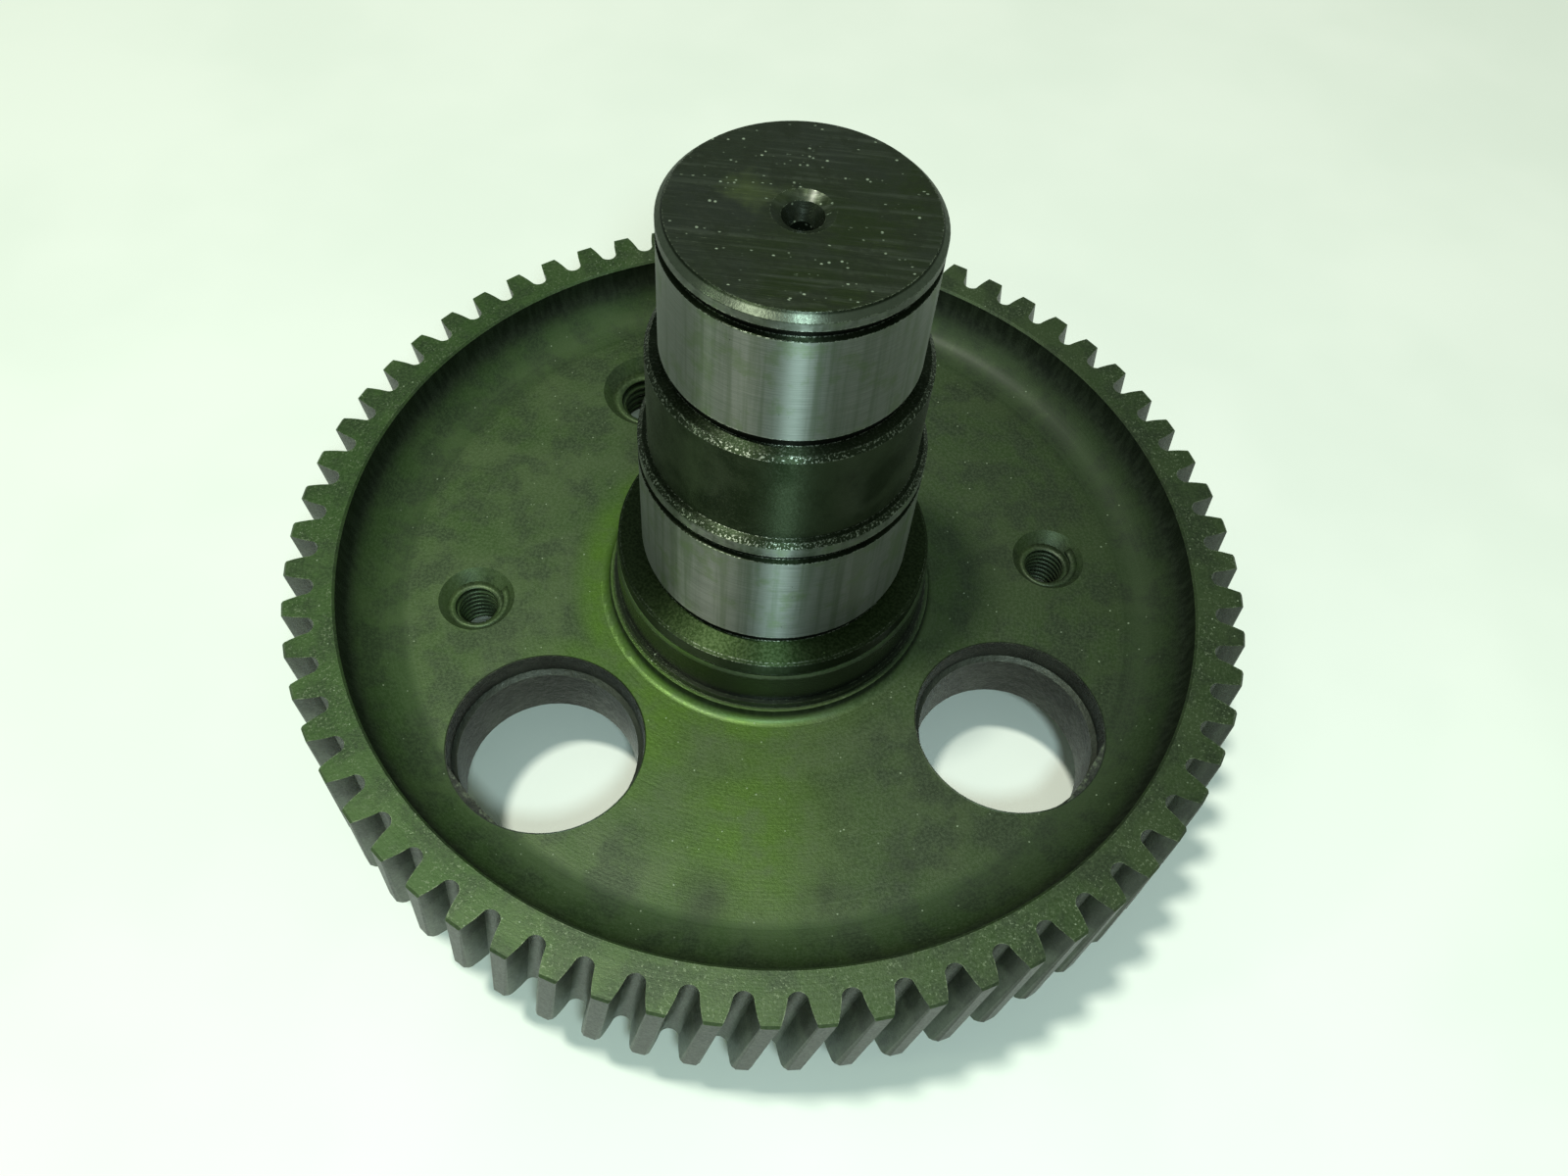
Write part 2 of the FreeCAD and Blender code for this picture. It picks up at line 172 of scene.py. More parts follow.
    def blend(self, factor, a, b):
        """Number between a and b."""
        made = self.node("ShaderNodeMix", data_type="FLOAT")
        self.link(factor, made.inputs["Factor"])
        self.link(a, made.inputs[2])
        self.link(b, made.inputs[3])
        return made.outputs[0]

    def spot(self, x, y, radius, blur, wobble=0.0, reach=6.0):
        """Soft round patch about a place seen from above, with an uneven outline."""
        away = self.length(self.minus(self.x, x), self.minus(self.y, y))
        if wobble:
            away = self.stray(away, self.noise(1.0 / reach, 3.0), wobble)
        return self.span(away, radius - blur, radius + blur, 1.0, 0.0)

    def bump(self, height, distance_mm, strength=1.0, normal=None):
        made = self.node("ShaderNodeBump")
        self.link(height, made.inputs["Height"])
        made.inputs["Distance"].default_value = distance_mm * MM
        made.inputs["Strength"].default_value = strength
        if normal is not None:
            self.link(normal, made.inputs["Normal"])
        return made.outputs["Normal"]

    def worn_edges(self, radius_mm):
        """How sharply the surface turns within a radius: near 1 at edges, 0 on open faces."""
        round_normal = self.node("ShaderNodeBevel", samples=4)
        round_normal.inputs["Radius"].default_value = radius_mm * MM
        flat_normal = self.node("ShaderNodeNewGeometry").outputs["Normal"]
        dot = self.node("ShaderNodeVectorMath", operation="DOT_PRODUCT")
        self.link(round_normal.outputs[0], dot.inputs[0])
        self.link(flat_normal, dot.inputs[1])
        return self.span(dot.outputs["Value"], 0.80, 0.995, 1.0, 0.0)

    def finish(self, **links):
        for socket, value in links.items():
            self.link(value, self.shader.inputs[socket.replace("_", " ")])
        return self.material


def dress(obj, *materials):
    obj.data.materials.clear()
    for material in materials:
        obj.data.materials.append(material)


# ---------------------------------------------------------------- camera, lights and floor

CAMERA_MM = Vector((2.772, -131.844, 223.412))
CAMERA_TILT = 0.9814
CAMERA_ROLL = 0.1096
CAMERA_LENS_MM = 29.85
LIGHTS_AIM_M = 0.03
FLOOR_HALF_M = 3.0


def add_camera():
    back = Vector((0, -math.cos(CAMERA_TILT), math.sin(CAMERA_TILT)))
    right = Vector((1, 0, 0))
    up = back.cross(right)
    side = right * math.cos(CAMERA_ROLL) + up * math.sin(CAMERA_ROLL)
    head = up * math.cos(CAMERA_ROLL) - right * math.sin(CAMERA_ROLL)
    turn = Matrix((side, head, back)).transposed().to_4x4()
    data = bpy.data.cameras.new("camera")
    data.lens = CAMERA_LENS_MM
    data.sensor_width = 36.0
    data.clip_start = 0.01
    camera = bpy.data.objects.new("camera", data)
    camera.matrix_world = Matrix.Translation(CAMERA_MM * MM) @ turn
    bpy.context.scene.collection.objects.link(camera)
    bpy.context.scene.camera = camera


def add_light(name, towards, distance, size, power, colour):
    """Round soft box that looks from a direction at the axis, level with the top of the web."""
    data = bpy.data.lights.new(name, "AREA")
    data.shape = "DISK"
    data.size = size
    data.energy = power
    data.color = colour
    light = bpy.data.objects.new(name, data)
    way = Vector(towards).normalized()
    light.location = way * distance + Vector((0, 0, LIGHTS_AIM_M))
    light.rotation_mode = "QUATERNION"
    light.rotation_quaternion = way.to_track_quat("Z", "Y")
    light.visible_camera = False
    bpy.context.scene.collection.objects.link(light)


def add_world(colour, strength):
    world = bpy.data.worlds.new("studio")
    world.use_nodes = True
    background = world.node_tree.nodes["Background"]
    background.inputs["Color"].default_value = (*colour, 1.0)
    background.inputs["Strength"].default_value = strength
    bpy.context.scene.world = world


# linear colours of the board on the table
BOARD_DEEP = (0.80, 0.865, 0.78, 1)
BOARD_PALE = (0.845, 0.90, 0.82, 1)
BOARD_SPECK = (0.62, 0.68, 0.58, 1)


def add_floor():
    mesh = bpy.data.meshes.new("floor")
    half = FLOOR_HALF_M
    corners = [(-half, -half, 0), (half, -half, 0), (half, half, 0), (-half, half, 0)]
    mesh.from_pydata(corners, [], [(0, 1, 2, 3)])
    floor = bpy.data.objects.new("floor", mesh)
    bpy.context.scene.collection.objects.link(floor)
    graph = Graph("pale_board", Roughness=0.7, Specular_IOR_Level=0.3)
    cloud = graph.noise(0.012, 3.0)
    grain = graph.noise(1.4, 4.0, 0.7)
    tint = graph.mix(graph.span(cloud, 0.35, 0.65), BOARD_DEEP, BOARD_PALE)
    tint = graph.mix(graph.span(grain, 0.72, 0.80, 0.0, 0.35), tint, BOARD_SPECK)
    graph.finish(Base_Color=tint, Normal=graph.bump(grain, 0.02, 0.3))
    dress(floor, graph.material)


add_camera()
add_floor()
add_world(colour=(0.84, 1.0, 0.88), strength=0.30)
add_light("key_light", towards=(-0.24, -0.035, 1.0), distance=2.0, size=0.20, power=26.0,
          colour=(1.0, 1.0, 0.90))
add_light("front_light", towards=(0.10, -0.64, 0.90), distance=0.36, size=0.04, power=0.52,
          colour=(0.74, 0.95, 1.0))
add_light("left_light", towards=(-0.80, -0.45, 0.62), distance=0.6, size=0.05, power=0.20,
          colour=(0.84, 1.0, 0.72))
bpy.context.scene.view_settings.view_transform = "Standard"
bpy.context.scene.view_settings.look = "None"


# ---------------------------------------------------------------- wheel

WEB_HOLES = (
    # angle about the axis, distance from it
    (228.0, 50.0),
    (330.6, 50.0),
)
TAPPED_HOLES = (
    # name, angle about the axis, distance from it, thread radius, minor radius, pitch, mouth radius
    ("right_puller", 12.3, 52.0, 4.0, 3.35, 1.25, 6.6),
    ("left_puller", 192.3, 52.0, 4.0, 3.35, 1.25, 6.6),
    ("lifting", 123.6, 50.0, 6.0, 5.05, 1.75, 9.4),
)

# distances from the shaft's axis
NECK_RADIUS_MM = 28.0
FOOT_RING_MM = (28.0, 34.0)
SWEEP_MM = (64.0, 73.6)
RIM_INNER_MM = 73.2
FLANKS_MM = (77.6, 82.1)
TIPS_MM = (82.2, 82.4)

# heights, and how far from a web hole's axis its wall reaches
HOLE_LEDGE_MM = (24.6, 25.5)
# height up to which the lower flanks are painted lighter
LIT_FLANK_UP_TO_MM = (30.5, 34.0)
NECK_MM = (31.0, 39.5)
HOLE_WALL_REACH_MM = 16.35


def polar(angle, radius):
    turn = math.radians(angle)
    return radius * math.cos(turn), radius * math.sin(turn)


def levelness(graph):
    """One where the surface faces up or down, zero where it stands upright."""
    normal = graph.node("ShaderNodeNewGeometry").outputs["Normal"]
    split = graph.node("ShaderNodeSeparateXYZ")
    graph.link(normal, split.inputs[0])
    return graph.maths("ABSOLUTE", split.outputs[2])


# linear colours of the forging; the tints are multiplied over what is already there
FORGING_DEEP = (0.035, 0.066, 0.017, 1)
FORGING_PALE = (0.060, 0.090, 0.036, 1)
FORGING_STAIN = (0.023, 0.036, 0.018, 1)
FORGING_GRAIN = (0.080, 0.112, 0.058, 1)
TURNING_MARK = (0.066, 0.095, 0.048, 1)
# green oil, also a painted sheen on the front of the web
GREEN_OIL_SHEEN = (0.070, 0.146, 0.010, 1)
# painted light on the left side and painted shade on the right side
LEFT_LIGHT_TINT = (1.10, 1.24, 0.94, 1)
RIGHT_SHADE_TINT = (0.54, 0.60, 0.46, 1)
SMUDGE = (0.018, 0.026, 0.014, 1)
RIM_LEFT_TINT = (0.66, 0.82, 0.58, 1)
RIM_RIGHT_TINT = (0.92, 0.98, 0.88, 1)
# bare points painted bright as glints on the rim face
BARE_POINT_GLINT = (0.20, 0.25, 0.15, 1)
# painted shade in the sweep between web and rim
SWEEP_SHADE_TINT = (0.48, 0.60, 0.42, 1)
# painted shade on upright faces, mixed with streaks of black oil
UPRIGHT_SHADE_OIL_DEEP = (0.008, 0.012, 0.007, 1)
UPRIGHT_SHADE_OIL_PALE = (0.024, 0.033, 0.020, 1)
# painted light on the lower flanks, and painted shade on the tips
LIT_FLANK = (0.078, 0.100, 0.066, 1)
TIP_SHADE = (0.010, 0.014, 0.008, 1)
NECK_OIL = (0.005, 0.008, 0.004, 1)
# painted shade on the web holes' walls, and a painted highlight on their ledge
HOLE_WALL_SHADE_DEEP = (0.013, 0.016, 0.012, 1)
HOLE_WALL_SHADE_PALE = (0.033, 0.039, 0.029, 1)
HOLE_LEDGE_HIGHLIGHT = (0.062, 0.072, 0.052, 1)
BARE_EDGE = (0.24, 0.30, 0.18, 1)
DUST = (0.40, 0.48, 0.33, 1)


def wheel_material():
    """Machined forging: turned, dulled and oily, with dust in the oil."""
    graph = Graph("machined_forging", Metallic=0.55, Specular_IOR_Level=0.5, Coat_Weight=0.12,
                  Coat_Roughness=0.35)
    level = levelness(graph)
    standing = graph.span(level, 0.35, 0.75, 1.0, 0.0)
    lying = graph.span(level, 0.6, 0.9)

    cloud = graph.noise(0.045, 5.0, 0.6, distortion=0.6)
    patch = graph.noise(0.16, 4.0, 0.6)
    grain = graph.noise(1.9, 3.0, 0.7)
    grit = graph.noise(5.0, 2.0, 0.6)
    turning = graph.noise(1.0, 2.0, 0.5, graph.ring_place(2.0, 2.6))

    colour = graph.mix(graph.span(cloud, 0.36, 0.64), FORGING_DEEP, FORGING_PALE)
    colour = graph.mix(graph.span(patch, 0.42, 0.62, 0.0, 0.75), colour, FORGING_STAIN)
    colour = graph.mix(graph.span(grain, 0.42, 0.64, 0.0, 0.45), colour, FORGING_GRAIN)
    colour = graph.mix(graph.span(turning, 0.45, 0.70, 0.0, 0.30), colour, TURNING_MARK)

    # green oil that has run and dried round the hub's foot and across the front of the web; it is also a
    # painted sheen, brighter on the front and fading out towards the right
    oil_and_sheen = graph.spot(-22.0, -30.0, 14.0, 9.0, 14.0)
    oil_and_sheen = graph.larger(oil_and_sheen, graph.spot(6.0, -47.0, 15.0, 12.0, 18.0))
    oil_and_sheen = graph.larger(oil_and_sheen, graph.band(graph.r, *FOOT_RING_MM, 3.0))
    oil_and_sheen = graph.times(oil_and_sheen, graph.span(patch, 0.30, 0.62, 0.35, 1.0), clamp=True)
    oil_and_sheen = graph.times(oil_and_sheen, graph.span(graph.x, -2.0, 26.0, 1.0, 0.1))
    colour = graph.mix(graph.times(oil_and_sheen, 0.85), colour, GREEN_OIL_SHEEN)

    # painted light and shade: greener and brighter on the left, blacker on the right
    wander = graph.stray(graph.x, cloud, 90.0)
    colour = graph.mix(graph.span(wander, -75.0, 20.0, 0.85, 0.0), colour, LEFT_LIGHT_TINT, "MULTIPLY")
    colour = graph.mix(graph.span(wander, 5.0, 75.0, 0.0, 0.9), colour, RIGHT_SHADE_TINT, "MULTIPLY")

    # faint shapeless smudges on the front of the web
    smudge = graph.spot(-4.0, -61.0, 3.0, 3.5, 9.0, 3.0)
    smudge = graph.larger(smudge, graph.spot(15.0, -58.0, 2.5, 3.0, 9.0, 3.0))
    smudge = graph.larger(smudge, graph.spot(26.0, -52.0, 2.0, 3.0, 8.0, 3.0))
    colour = graph.mix(graph.times(smudge, 0.6), colour, SMUDGE)

    # turned rim face: grainy, with bare points painted bright as glints
    rim_face = graph.times(graph.span(graph.r, RIM_INNER_MM - 0.4, RIM_INNER_MM + 0.4), lying)
    rim_tint = graph.mix(graph.span(wander, -75.0, 0.0), RIM_LEFT_TINT, RIM_RIGHT_TINT)
    colour = graph.mix(rim_face, colour, rim_tint, "MULTIPLY")
    points = graph.span(graph.noise(2.6, 2.0, 0.6), 0.58, 0.68)
    points = graph.times(points, graph.span(graph.noise(0.12, 3.0), 0.42, 0.60, 0.25, 1.0))
    points = graph.times(points, rim_face)
    colour = graph.mix(graph.times(points, 0.55), colour, BARE_POINT_GLINT)

    # painted shade in the sweep between the web and the rim, which dims its highlight
    sweep = graph.band(graph.r, *SWEEP_MM, 1.2)
    colour = graph.mix(graph.times(sweep, 0.7), colour, SWEEP_SHADE_TINT, "MULTIPLY")

    # painted shade on upright faces, with black oil dried in streaks on the teeth
    drip = graph.noise(1.0, 3.0, 0.6, graph.stretched(0.9, 0.9, 0.12))
    upright_shade_and_oil = graph.mix(graph.span(drip, 0.38, 0.66), UPRIGHT_SHADE_OIL_DEEP, UPRIGHT_SHADE_OIL_PALE)
    colour = graph.mix(graph.times(standing, 0.85), colour, upright_shade_and_oil)

    # painted light on the lower flanks, fading out towards the upper ends of the teeth, and painted shade
    # on the tips
    lit_height = graph.span(graph.stray(graph.z, patch, 9.0), *LIT_FLANK_UP_TO_MM, 1.0, 0.0)
    lower_flank_light = graph.times(graph.band(graph.r, *FLANKS_MM, 0.35), lit_height)
    lower_flank_light = graph.times(lower_flank_light, standing)
    lower_flank_light = graph.times(lower_flank_light, graph.span(drip, 0.30, 0.60, 0.35, 0.85))
    colour = graph.mix(lower_flank_light, colour, LIT_FLANK)
    tip_shade = graph.times(graph.span(graph.r, *TIPS_MM), standing)
    colour = graph.mix(graph.times(tip_shade, 0.7), colour, TIP_SHADE)

    # wet black oil on the hub's neck
    neck = graph.span(graph.r, NECK_RADIUS_MM - 0.3, NECK_RADIUS_MM + 0.3, 1.0, 0.0)
    neck = graph.times(neck, graph.band(graph.z, *NECK_MM, 0.6))
    colour = graph.mix(graph.times(neck, 0.9), colour, NECK_OIL)

    # scaly cast walls of the web holes, painted dark as shade in the holes, with a painted highlight on a
    # line round each near the top
    bore = 0.0
    for angle, distance in WEB_HOLES:
        bore = graph.larger(bore, graph.spot(*polar(angle, distance), HOLE_WALL_REACH_MM, 0.15))
    cast = graph.mix(graph.span(patch, 0.35, 0.65), HOLE_WALL_SHADE_DEEP, HOLE_WALL_SHADE_PALE)
    ledge_highlight = graph.band(graph.z, *HOLE_LEDGE_MM, 0.15)
    cast = graph.mix(graph.times(ledge_highlight, 0.6), cast, HOLE_LEDGE_HIGHLIGHT)
    colour = graph.mix(bore, colour, cast)

    # bare metal on worn edges
    wear = graph.worn_edges(0.30)
    rubbed = graph.times(wear, graph.span(graph.noise(0.9, 4.0, 0.7), 0.46, 0.62, 0.05, 1.0))
    rubbed = graph.times(rubbed, graph.blend(rim_face, 0.35, 0.85))
    colour = graph.mix(rubbed, colour, BARE_EDGE)

    # pale dust lying in the oil
    dust = graph.span(graph.cells(0.62), 0.06, 0.12, 1.0, 0.0)
    dust = graph.times(dust, graph.span(graph.noise(0.37, 3.0, 0.6), 0.49, 0.60))
    dust = graph.times(dust, lying)
    colour = graph.mix(graph.times(dust, 0.55), colour, DUST)

    rough = graph.span(grain, 0.3, 0.7, 0.40, 0.54)
    rough = graph.minus(rough, graph.times(oil_and_sheen, 0.08))
    rough = graph.plus(rough, graph.times(sweep, 0.18))
    rough = graph.blend(neck, rough, 0.24)
    rough = graph.plus(rough, graph.times(dust, 0.2), clamp=True)

    relief = graph.plus(grain, graph.times(grit, 0.5))
    relief = graph.plus(relief, graph.times(turning, 0.5))
    relief = graph.plus(relief, graph.times(dust, 0.8))
    normal = graph.bump(relief, 0.06, 0.6)
    scaly_skin = graph.times(graph.noise(0.55, 5.0, 0.65), bore)
    normal = graph.bump(scaly_skin, 0.5, 0.7, normal)
    return graph.finish(Base_Color=colour, Roughness=rough, Normal=normal)


# ---------------------------------------------------------------- shaft

# heights along the bar
COLLAR_MM = (39.8, 43.4)
LOWER_SEAT_MM = (45.0, 65.8)
LOWER_LAND_MM = (67.65, 69.6)
LOWER_CHAMFER_MM = (69.6, 70.25)
MIDDLE_MM = 80.0
UPPER_CHAMFER_MM = (87.5, 88.15)
UPPER_SEAT_MM = (89.9, 108.4)
UPPER_LAND_MM = (110.25, 111.5)
END_CHAMFER_MM = (111.6, 112.35)
RING_GROOVES_MM = ((65.8, 67.65), (108.4, 110.25))
RELIEFS_MM = ((43.3, 45.0), (88.2, 89.9))

# distances from the axis over which the blackness of the grooves fades
LOWER_GROOVE_FLOOR_MM = (22.0, 22.3)
UPPER_GROOVE_FLOOR_MM = (18.55, 18.85)


# linear colours of the bar's sides
GROUND_DEEP = (0.165, 0.190, 0.160, 1)
GROUND_PALE = (0.245, 0.270, 0.238, 1)
GROUND_STREAK = (0.098, 0.132, 0.082, 1)
GROUND_FILM = (0.120, 0.175, 0.080, 1)
PIT = (0.03, 0.03, 0.025, 1)
TURNED_DEEP = (0.016, 0.026, 0.012, 1)
TURNED_PALE = (0.038, 0.054, 0.029, 1)
TURNED_GRAIN = (0.060, 0.075, 0.048, 1)
COLLAR_DEEP = (0.024, 0.044, 0.014, 1)
COLLAR_PALE = (0.056, 0.088, 0.036, 1)
GROOVE_BLACK = (0.008, 0.010, 0.007, 1)
END_CHAMFER_STEEL = (0.17, 0.205, 0.15, 1)
STEP_CHAMFER_OIL = (0.022, 0.034, 0.016, 1)
EDGE_GLINT = (0.55, 0.62, 0.50, 1)


def shaft_material():
    """One bar of steel: ground on the seats, oily and rough between them."""
    graph = Graph("ground_steel", Metallic=1.0, Anisotropic=1.0, Anisotropic_Rotation=0.25, Coat_Weight=0.1,
                  Coat_Roughness=0.25)
    tangent = graph.node("ShaderNodeTangent", direction_type="RADIAL", axis="Z")
    graph.link(tangent.outputs[0], graph.shader.inputs["Tangent"])
    level = levelness(graph)
    standing = graph.span(level, 0.3, 0.7, 1.0, 0.0)
    z = graph.z

    hair = graph.noise(1.0, 3.0, 0.6, graph.ring_place(3.0, 9.0))
    streak = graph.noise(1.0, 3.0, 0.6, graph.stretched(0.55, 0.55, 0.02))
    cloud = graph.noise(0.09, 4.0, 0.6, distortion=0.4)
    grain = graph.noise(2.2, 3.0, 0.7)
    film = graph.noise(0.22, 4.0, 0.65)

    seats = graph.plus(graph.band(z, *LOWER_SEAT_MM, 0.12), graph.band(z, *UPPER_SEAT_MM, 0.12))
    lands = graph.plus(graph.band(z, *LOWER_LAND_MM, 0.15), graph.band(z, *UPPER_LAND_MM, 0.15))
    lands = graph.times(lands, graph.span(film, 0.40, 0.60, 0.45, 1.0))
    bright = graph.times(graph.plus(seats, lands), standing, clamp=True)

    # ground seats under a thin, uneven film of oil
    ground = graph.mix(graph.span(hair, 0.35, 0.68), GROUND_DEEP, GROUND_PALE)
    ground = graph.mix(graph.span(streak, 0.44, 0.66, 0.0, 0.55), ground, GROUND_STREAK)
    ground = graph.mix(graph.span(film, 0.50, 0.66, 0.0, 0.5), ground, GROUND_FILM)
    pits = graph.span(graph.cells(0.8), 0.05, 0.11, 1.0, 0.0)
    pits = graph.times(pits, graph.span(graph.noise(0.35, 2.0), 0.57, 0.62))
    ground = graph.mix(graph.times(pits, 0.8), ground, PIT)

    # oily turned steel between the seats
    oily = graph.mix(graph.span(cloud, 0.38, 0.62), TURNED_DEEP, TURNED_PALE)
    oily = graph.mix(graph.span(grain, 0.50, 0.72, 0.0, 0.35), oily, TURNED_GRAIN)
    colour = graph.mix(bright, oily, ground)

    # the collar's top is as dull as the forging round it
    collar = graph.times(graph.band(z, *COLLAR_MM, 0.1), level)
    dull = graph.mix(graph.span(grain, 0.38, 0.64), COLLAR_DEEP, COLLAR_PALE)
    colour = graph.mix(collar, colour, dull)

    # grooves stay black
    black = 0.0
    for low, high in RING_GROOVES_MM + RELIEFS_MM:
        black = graph.larger(black, graph.band(z, low + 0.05, high - 0.05, 0.08))
    below = graph.span(z, MIDDLE_MM, MIDDLE_MM + 0.1, 1.0, 0.0)
    lower_groove = graph.times(below, graph.span(graph.r, *LOWER_GROOVE_FLOOR_MM, 1.0, 0.0))
    above = graph.span(z, MIDDLE_MM, MIDDLE_MM + 0.1)
    upper_groove = graph.times(above, graph.span(graph.r, *UPPER_GROOVE_FLOOR_MM, 1.0, 0.0))
    black = graph.times(black, graph.larger(lower_groove, upper_groove))
    colour = graph.mix(black, colour, GROOVE_BLACK)

    # edges: thin lines of fine glints on dark oil
    wear = graph.worn_edges(0.34)
    fleck = graph.noise(2.9, 2.0, 0.6)
    glints = graph.span(fleck, 0.47, 0.57)
    glints = graph.times(glints, graph.span(film, 0.38, 0.56, 0.15, 1.0))
    chamfers = graph.plus(graph.band(z, *UPPER_CHAMFER_MM, 0.1), graph.band(z, *LOWER_CHAMFER_MM, 0.1))
    end_chamfer = graph.band(z, *END_CHAMFER_MM, 0.1)
    colour = graph.mix(graph.times(end_chamfer, 0.8), colour, END_CHAMFER_STEEL)
    colour = graph.mix(graph.times(chamfers, 0.8), colour, STEP_CHAMFER_OIL)
    scattered = graph.span(fleck, 0.55, 0.64, 0.0, 0.5)
    edge = graph.larger(graph.times(wear, glints), graph.times(chamfers, scattered))
    edge = graph.times(edge, graph.minus(1.0, graph.times(black, 0.75)))
    colour = graph.mix(edge, colour, EDGE_GLINT)

    turned_rough = graph.span(grain, 0.3, 0.7, 0.36, 0.50)
    ground_rough = graph.span(hair, 0.3, 0.7, 0.47, 0.56)
    rough = graph.blend(bright, turned_rough, ground_rough)
    rough = graph.blend(collar, rough, 0.52)

    relief = graph.times(graph.blend(bright, grain, hair), graph.blend(bright, 1.0, 0.25))
    relief = graph.minus(relief, graph.times(pits, 0.8))
    normal = graph.bump(relief, 0.05, 0.5)
    return graph.finish(Base_Color=colour, Roughness=rough, Normal=normal)


# linear colours of the bar's ends
SAWN_GREY = (0.026, 0.033, 0.024, 1)
SAWN_OLIVE = (0.017, 0.030, 0.005, 1)
SAW_MARK = (0.060, 0.074, 0.050, 1)
SAWN_STAIN = (0.011, 0.018, 0.006, 1)
SMEAR = (0.120, 0.165, 0.045, 1)
CENTRE_DARK = (0.010, 0.014, 0.008, 1)
SAWN_GLINT = (0.42, 0.50, 0.36, 1)
SAWN_EDGE = (0.42, 0.50, 0.34, 1)


def end_material():
    """End of the bar: sawn across, soaked in oil, with glints where bare metal shows through."""
    graph = Graph("sawn_end", Metallic=0.7, Coat_Weight=0.2, Coat_Roughness=0.2)
    cloud = graph.noise(0.075, 5.0, 0.62, distortion=0.8)
    film = graph.noise(0.28, 4.0, 0.65)
    saw = graph.noise(1.0, 3.0, 0.6, graph.stretched(0.06, 1.1, 0.3))
    fine_saw = graph.noise(1.0, 2.0, 0.6, graph.stretched(0.25, 4.5, 0.3))
    side = graph.span(graph.plus(graph.x, graph.times(graph.y, -0.8)), -12.0, 10.0)
    olive = graph.times(graph.span(cloud, 0.34, 0.60, 0.35, 1.0), graph.blend(side, 0.45, 1.0))
    colour = graph.mix(olive, SAWN_GREY, SAWN_OLIVE)
    colour = graph.mix(graph.span(saw, 0.48, 0.68, 0.0, 0.6), colour, SAW_MARK)
    colour = graph.mix(graph.span(film, 0.46, 0.62, 0.0, 0.7), colour, SAWN_STAIN)
    smear = graph.spot(-7.0, 3.0, 2.0, 3.0, 10.0, 4.0)
    colour = graph.mix(graph.times(smear, 0.45), colour, SMEAR)
    # darker in the centre drilling
    centre = graph.span(graph.r, 2.6, 3.2, 1.0, 0.0)
    colour = graph.mix(graph.times(centre, 0.7), colour, CENTRE_DARK)
    chips = graph.cells(1.0)
    glint = graph.span(chips, 0.12, 0.26, 1.0, 0.0)
    tracks = graph.noise(1.0, 3.0, 0.7, graph.stretched(0.12, 0.75, 0.3))
    glint = graph.times(glint, graph.span(tracks, 0.54, 0.60))
    colour = graph.mix(graph.times(glint, 0.9), colour, SAWN_GLINT)
    wear = graph.worn_edges(0.35)
    wear = graph.times(wear, graph.span(graph.noise(2.4, 2.0, 0.6), 0.48, 0.58))
    colour = graph.mix(graph.times(wear, 0.8), colour, SAWN_EDGE)
    rough = graph.span(film, 0.35, 0.65, 0.32, 0.50)
    relief = graph.plus(saw, graph.times(fine_saw, 0.6))
    relief = graph.plus(relief, graph.times(chips, 0.5))
    return graph.finish(Base_Color=colour, Roughness=rough, Normal=graph.bump(relief, 0.12, 0.7))


DRILLING_REACH_MM = 5.0
END_REACH_MM = 0.01


def paint_faces(obj, slot, wanted):
    """Give the faces whose centre and normal pass a test another of the object's materials."""
    for face in obj.data.polygons:
        if wanted(face.center / MM, face.normal):
            face.material_index = slot


def on_end_face(centre, normal):
    """Faces of both ends of the bar and of their centre drillings."""
    drilled = math.hypot(centre.x, centre.y) < DRILLING_REACH_MM
    at_end = centre.z > SHAFT_TOP_MM - END_REACH_MM or centre.z < END_REACH_MM
    return drilled or (at_end and abs(normal.z) > 0.99)


# linear colours of the key
DRAWN_DEEP = (0.28, 0.29, 0.27, 1)
DRAWN_PALE = (0.42, 0.43, 0.40, 1)
KEY_STAIN = (0.12, 0.13, 0.09, 1)


def key_material():
    """Cold drawn key steel with lengthwise draw marks."""
    graph = Graph("key_steel", Metallic=1.0, Anisotropic=0.3)
    drawn = graph.noise(1.0, 3.0, 0.6, graph.stretched(4.0, 4.0, 0.15))
    stain = graph.noise(0.3, 4.0, 0.6)
    colour = graph.mix(graph.span(drawn, 0.35, 0.65), DRAWN_DEEP, DRAWN_PALE)
    colour = graph.mix(graph.span(stain, 0.5, 0.7, 0.0, 0.6), colour, KEY_STAIN)
    rough = graph.span(drawn, 0.3, 0.7, 0.28, 0.42)
    return graph.finish(Base_Color=colour, Roughness=rough, Normal=graph.bump(drawn, 0.03, 0.4))


# ---------------------------------------------------------------- threads

THREAD_STEPS = 36
# half widths of a ridge at its foot and crest, as shares of the pitch
THREAD_FOOT = 0.47
THREAD_CREST = 0.07
# how far its foot is sunk in the wall, and the share of a countersink that it stops short of
THREAD_BITE_MM = 0.05
THREAD_RUN_OUT = 0.4


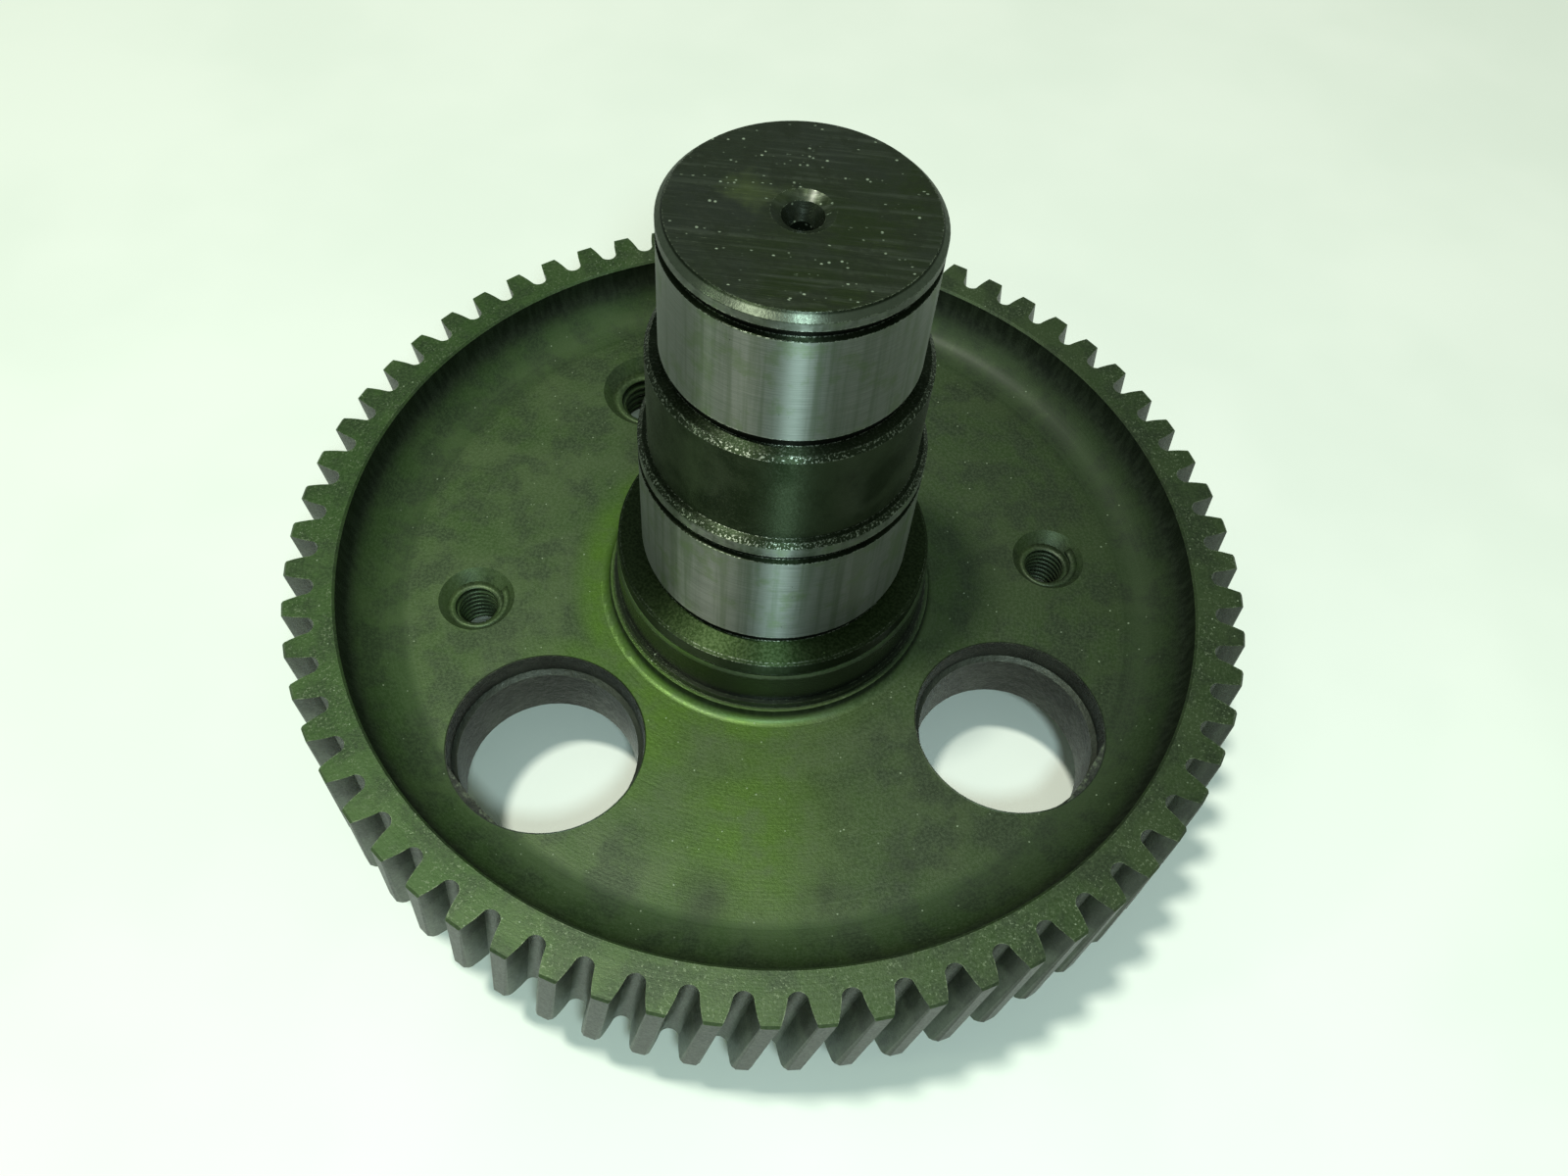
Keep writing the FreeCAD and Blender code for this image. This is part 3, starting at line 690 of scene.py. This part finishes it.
def thread_ridge(name, angle, distance, outer, inner, pitch, mouth):
    """Helical ridge of a tapped hole, standing out of its wall and running out into both countersinks."""
    centre_x, centre_y = polar(angle, distance)
    low = WEB_BOTTOM_MM + THREAD_RUN_OUT * (mouth - inner)
    high = WEB_TOP_MM - THREAD_RUN_OUT * (mouth - inner)
    turns = (high - low) / pitch
    foot = pitch * THREAD_FOOT
    crest = pitch * THREAD_CREST
    wall = outer + THREAD_BITE_MM
    profile = ((wall, -foot), (inner, -crest), (inner, crest), (wall, foot))
    mesh = bmesh.new()
    rows = []
    for index in range(int(turns * THREAD_STEPS) + 1):
        turn = 2 * math.pi * index / THREAD_STEPS
        height = low + pitch * index / THREAD_STEPS
        shape = []
        for radius, offset in profile:
            z = height + offset
            cone = max(outer, mouth - (WEB_TOP_MM - z), mouth - (z - WEB_BOTTOM_MM))
            reach = cone + THREAD_BITE_MM if radius == wall else max(inner, cone - (outer - inner))
            shape.append(mesh.verts.new((
                (centre_x + reach * math.cos(turn)) * MM,
                (centre_y + reach * math.sin(turn)) * MM,
                z * MM,
            )))
        rows.append(shape)
    for before, after in zip(rows, rows[1:]):
        for side in range(4):
            following = (side + 1) % 4
            mesh.faces.new((before[side], before[following], after[following], after[side]))
    mesh.faces.new(rows[0])
    mesh.faces.new(rows[-1][::-1])
    bmesh.ops.recalc_face_normals(mesh, faces=mesh.faces)
    data = bpy.data.meshes.new(name)
    mesh.to_mesh(data)
    mesh.free()
    ridge = bpy.data.objects.new(name, data)
    bpy.context.scene.collection.objects.link(ridge)
    ridge.data.shade_smooth()
    return ridge


forging = wheel_material()
dress(nodes["gear_wheel"], forging)
dress(nodes["stub_shaft"], shaft_material(), end_material())
paint_faces(nodes["stub_shaft"], 1, on_end_face)
dress(nodes["hub_key"], key_material())

for name, angle, distance, outer, inner, pitch, mouth in TAPPED_HOLES:
    ridge = thread_ridge(f"{name}_thread", angle, distance, outer, inner, pitch, mouth)
    dress(ridge, forging)
    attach(ridge, "root")
